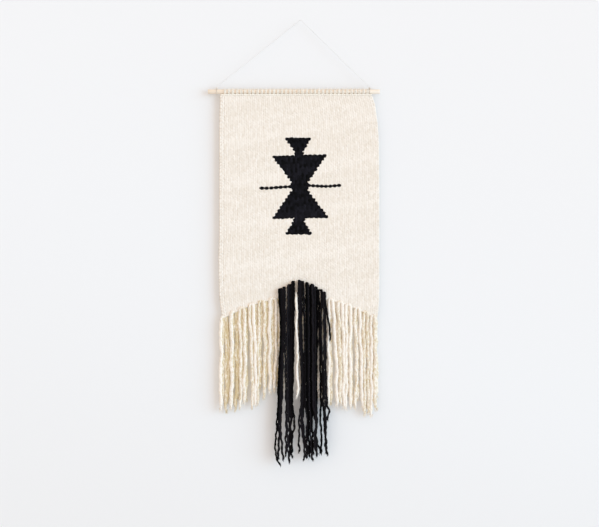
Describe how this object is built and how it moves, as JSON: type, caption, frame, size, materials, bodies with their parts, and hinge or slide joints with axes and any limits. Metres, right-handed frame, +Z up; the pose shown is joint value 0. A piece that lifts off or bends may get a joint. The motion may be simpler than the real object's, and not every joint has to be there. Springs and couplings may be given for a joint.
{
  "type": "tapestry wall hanging",
  "caption": "Woven wool wall hanging on a wooden dowel with a stepped black figure, an arched lower edge and long cream and black fringes, hung by a thread.",
  "frame": {"origin": "the point of the wall nail that the hanging thread rests on", "axes": "+Z up, +X to the right seen from the front, -Y towards the viewer, so +Y towards the wall"},
  "size_m": [0.304, 0.0161, 0.7849],
  "materials": {
    "birch_dowel": "sanded bare pale wood",
    "cotton_thread": "thin white cotton thread",
    "cotton_warp": "twisted natural cotton warp",
    "natural_weft": "thick undyed wool, plain weave",
    "natural_roving": "thick and thin undyed wool singles, slightly fuzzy",
    "black_wool": "black wool yarn, matt"
  },
  "bodies": {
    "hanger": {"dowel": "birch_dowel", "hanging_cord": "cotton_thread", "cord_knot_left": "cotton_thread", "cord_knot_right": "cotton_thread"},
    "warp_loops": {"warp_loops": "cotton_warp"},
    "panel": {"woven_ground": "natural_weft", "woven_figure": "black_wool", "woven_line_left": "black_wool", "woven_line_right": "black_wool"},
    "black_tassel_1": {"black_tassel_1": "black_wool"},
    "black_tassel_2": {"black_tassel_2": "black_wool"},
    "black_tassel_3": {"black_tassel_3": "black_wool"},
    "black_tassel_4": {"black_tassel_4": "black_wool"},
    "black_tassel_5": {"black_tassel_5": "black_wool"},
    "black_tassel_6": {"black_tassel_6": "black_wool"},
    "black_tassel_7": {"black_tassel_7": "black_wool"},
    "black_tassel_8": {"black_tassel_8": "black_wool"},
    "black_tassel_9": {"black_tassel_9": "black_wool"},
    "black_tassel_10": {"black_tassel_10": "black_wool"},
    "black_tassel_11": {"black_tassel_11": "black_wool"},
    "cream_tassel_left_1": {"cream_tassel_left_1": "natural_roving"},
    "cream_tassel_left_2": {"cream_tassel_left_2": "natural_roving"},
    "cream_tassel_left_3": {"cream_tassel_left_3": "natural_roving"},
    "cream_tassel_left_4": {"cream_tassel_left_4": "natural_roving"},
    "cream_tassel_left_5": {"cream_tassel_left_5": "natural_roving"},
    "cream_tassel_left_6": {"cream_tassel_left_6": "natural_roving"},
    "cream_tassel_centre_1": {"cream_tassel_centre_1": "natural_roving"},
    "cream_tassel_centre_2": {"cream_tassel_centre_2": "natural_roving"},
    "cream_tassel_centre_3": {"cream_tassel_centre_3": "natural_roving"},
    "cream_tassel_centre_4": {"cream_tassel_centre_4": "natural_roving"},
    "cream_tassel_centre_5": {"cream_tassel_centre_5": "natural_roving"},
    "cream_tassel_right_1": {"cream_tassel_right_1": "natural_roving"},
    "cream_tassel_right_2": {"cream_tassel_right_2": "natural_roving"},
    "cream_tassel_right_3": {"cream_tassel_right_3": "natural_roving"},
    "cream_tassel_right_4": {"cream_tassel_right_4": "natural_roving"},
    "cream_tassel_right_5": {"cream_tassel_right_5": "natural_roving"},
    "cream_tassel_right_6": {"cream_tassel_right_6": "natural_roving"}
  },
  "joints": [
    {"name": "panel_slide", "type": "slide", "parent": "hanger", "child": "warp_loops", "axis": [1, 0, 0], "range_m": [-0.01, 0]},
    {"name": "panel_swing", "type": "hinge", "parent": "warp_loops", "child": "panel", "pos_m": [0, 0, -0.1256], "axis": [-1, 0, 0], "range_deg": [0, 90]},
    {"name": "black_tassel_1_swing", "type": "hinge", "parent": "panel", "child": "black_tassel_1", "pos_m": [-0.038, -0.006, -0.47502], "axis": [-1, 0, 0], "range_deg": [0, 90]},
    {"name": "black_tassel_2_swing", "type": "hinge", "parent": "panel", "child": "black_tassel_2", "pos_m": [-0.0308, -0.006, -0.47075], "axis": [-1, 0, 0], "range_deg": [0, 90]},
    {"name": "black_tassel_3_swing", "type": "hinge", "parent": "panel", "child": "black_tassel_3", "pos_m": [-0.0236, -0.006, -0.46743], "axis": [-1, 0, 0], "range_deg": [0, 90]},
    {"name": "black_tassel_4_swing", "type": "hinge", "parent": "panel", "child": "black_tassel_4", "pos_m": [-0.0164, -0.006, -0.46507], "axis": [-1, 0, 0], "range_deg": [0, 90]},
    {"name": "black_tassel_5_swing", "type": "hinge", "parent": "panel", "child": "black_tassel_5", "pos_m": [-0.0018, -0.006, -0.4632], "axis": [-1, 0, 0], "range_deg": [0, 90]},
    {"name": "black_tassel_6_swing", "type": "hinge", "parent": "panel", "child": "black_tassel_6", "pos_m": [0.0054, -0.006, -0.46372], "axis": [-1, 0, 0], "range_deg": [0, 90]},
    {"name": "black_tassel_7_swing", "type": "hinge", "parent": "panel", "child": "black_tassel_7", "pos_m": [0.0126, -0.006, -0.4652], "axis": [-1, 0, 0], "range_deg": [0, 90]},
    {"name": "black_tassel_8_swing", "type": "hinge", "parent": "panel", "child": "black_tassel_8", "pos_m": [0.0198, -0.006, -0.46763], "axis": [-1, 0, 0], "range_deg": [0, 90]},
    {"name": "black_tassel_9_swing", "type": "hinge", "parent": "panel", "child": "black_tassel_9", "pos_m": [0.027, -0.006, -0.47101], "axis": [-1, 0, 0], "range_deg": [0, 90]},
    {"name": "black_tassel_10_swing", "type": "hinge", "parent": "panel", "child": "black_tassel_10", "pos_m": [0.0342, -0.006, -0.47535], "axis": [-1, 0, 0], "range_deg": [0, 90]},
    {"name": "black_tassel_11_swing", "type": "hinge", "parent": "panel", "child": "black_tassel_11", "pos_m": [0.0414, -0.006, -0.48064], "axis": [-1, 0, 0], "range_deg": [0, 90]},
    {"name": "cream_tassel_left_1_swing", "type": "hinge", "parent": "panel", "child": "cream_tassel_left_1", "pos_m": [-0.13367, 0, -0.53158], "axis": [-1, 0, 0], "range_deg": [0, 90]},
    {"name": "cream_tassel_left_2_swing", "type": "hinge", "parent": "panel", "child": "cream_tassel_left_2", "pos_m": [-0.117, 0, -0.52261], "axis": [-1, 0, 0], "range_deg": [0, 90]},
    {"name": "cream_tassel_left_3_swing", "type": "hinge", "parent": "panel", "child": "cream_tassel_left_3", "pos_m": [-0.10033, 0, -0.51478], "axis": [-1, 0, 0], "range_deg": [0, 90]},
    {"name": "cream_tassel_left_4_swing", "type": "hinge", "parent": "panel", "child": "cream_tassel_left_4", "pos_m": [-0.08367, 0, -0.5081], "axis": [-1, 0, 0], "range_deg": [0, 90]},
    {"name": "cream_tassel_left_5_swing", "type": "hinge", "parent": "panel", "child": "cream_tassel_left_5", "pos_m": [-0.067, 0, -0.50256], "axis": [-1, 0, 0], "range_deg": [0, 90]},
    {"name": "cream_tassel_left_6_swing", "type": "hinge", "parent": "panel", "child": "cream_tassel_left_6", "pos_m": [-0.05033, 0, -0.49817], "axis": [-1, 0, 0], "range_deg": [0, 90]},
    {"name": "cream_tassel_centre_1_swing", "type": "hinge", "parent": "panel", "child": "cream_tassel_centre_1", "pos_m": [-0.03326, 0, -0.49486], "axis": [-1, 0, 0], "range_deg": [0, 90]},
    {"name": "cream_tassel_centre_2_swing", "type": "hinge", "parent": "panel", "child": "cream_tassel_centre_2", "pos_m": [-0.01578, 0, -0.49271], "axis": [-1, 0, 0], "range_deg": [0, 90]},
    {"name": "cream_tassel_centre_3_swing", "type": "hinge", "parent": "panel", "child": "cream_tassel_centre_3", "pos_m": [0.0017, 0, -0.49206], "axis": [-1, 0, 0], "range_deg": [0, 90]},
    {"name": "cream_tassel_centre_4_swing", "type": "hinge", "parent": "panel", "child": "cream_tassel_centre_4", "pos_m": [0.01918, 0, -0.4935], "axis": [-1, 0, 0], "range_deg": [0, 90]},
    {"name": "cream_tassel_centre_5_swing", "type": "hinge", "parent": "panel", "child": "cream_tassel_centre_5", "pos_m": [0.03666, 0, -0.4962], "axis": [-1, 0, 0], "range_deg": [0, 90]},
    {"name": "cream_tassel_right_1_swing", "type": "hinge", "parent": "panel", "child": "cream_tassel_right_1", "pos_m": [0.05323, 0, -0.49993], "axis": [-1, 0, 0], "range_deg": [0, 90]},
    {"name": "cream_tassel_right_2_swing", "type": "hinge", "parent": "panel", "child": "cream_tassel_right_2", "pos_m": [0.0689, 0, -0.50449], "axis": [-1, 0, 0], "range_deg": [0, 90]},
    {"name": "cream_tassel_right_3_swing", "type": "hinge", "parent": "panel", "child": "cream_tassel_right_3", "pos_m": [0.08457, 0, -0.51006], "axis": [-1, 0, 0], "range_deg": [0, 90]},
    {"name": "cream_tassel_right_4_swing", "type": "hinge", "parent": "panel", "child": "cream_tassel_right_4", "pos_m": [0.10023, 0, -0.51664], "axis": [-1, 0, 0], "range_deg": [0, 90]},
    {"name": "cream_tassel_right_5_swing", "type": "hinge", "parent": "panel", "child": "cream_tassel_right_5", "pos_m": [0.1159, 0, -0.52424], "axis": [-1, 0, 0], "range_deg": [0, 90]},
    {"name": "cream_tassel_right_6_swing", "type": "hinge", "parent": "panel", "child": "cream_tassel_right_6", "pos_m": [0.13157, 0, -0.53285], "axis": [-1, 0, 0], "range_deg": [0, 90]}
  ],
  "couplings": [
    {"joint": "black_tassel_2_swing", "follows": "black_tassel_1_swing", "ratio": 1},
    {"joint": "black_tassel_3_swing", "follows": "black_tassel_1_swing", "ratio": 1},
    {"joint": "black_tassel_4_swing", "follows": "black_tassel_1_swing", "ratio": 1},
    {"joint": "black_tassel_5_swing", "follows": "black_tassel_1_swing", "ratio": 1},
    {"joint": "black_tassel_6_swing", "follows": "black_tassel_1_swing", "ratio": 1},
    {"joint": "black_tassel_7_swing", "follows": "black_tassel_1_swing", "ratio": 1},
    {"joint": "black_tassel_8_swing", "follows": "black_tassel_1_swing", "ratio": 1},
    {"joint": "black_tassel_9_swing", "follows": "black_tassel_1_swing", "ratio": 1},
    {"joint": "black_tassel_10_swing", "follows": "black_tassel_1_swing", "ratio": 1},
    {"joint": "black_tassel_11_swing", "follows": "black_tassel_1_swing", "ratio": 1},
    {"joint": "cream_tassel_left_2_swing", "follows": "cream_tassel_left_1_swing", "ratio": 1},
    {"joint": "cream_tassel_left_3_swing", "follows": "cream_tassel_left_1_swing", "ratio": 1},
    {"joint": "cream_tassel_left_4_swing", "follows": "cream_tassel_left_1_swing", "ratio": 1},
    {"joint": "cream_tassel_left_5_swing", "follows": "cream_tassel_left_1_swing", "ratio": 1},
    {"joint": "cream_tassel_left_6_swing", "follows": "cream_tassel_left_1_swing", "ratio": 1},
    {"joint": "cream_tassel_centre_1_swing", "follows": "black_tassel_1_swing", "ratio": 1},
    {"joint": "cream_tassel_centre_2_swing", "follows": "black_tassel_1_swing", "ratio": 1},
    {"joint": "cream_tassel_centre_3_swing", "follows": "black_tassel_1_swing", "ratio": 1},
    {"joint": "cream_tassel_centre_4_swing", "follows": "black_tassel_1_swing", "ratio": 1},
    {"joint": "cream_tassel_centre_5_swing", "follows": "black_tassel_1_swing", "ratio": 1},
    {"joint": "cream_tassel_right_2_swing", "follows": "cream_tassel_right_1_swing", "ratio": 1},
    {"joint": "cream_tassel_right_3_swing", "follows": "cream_tassel_right_1_swing", "ratio": 1},
    {"joint": "cream_tassel_right_4_swing", "follows": "cream_tassel_right_1_swing", "ratio": 1},
    {"joint": "cream_tassel_right_5_swing", "follows": "cream_tassel_right_1_swing", "ratio": 1},
    {"joint": "cream_tassel_right_6_swing", "follows": "cream_tassel_right_1_swing", "ratio": 1}
  ]
}
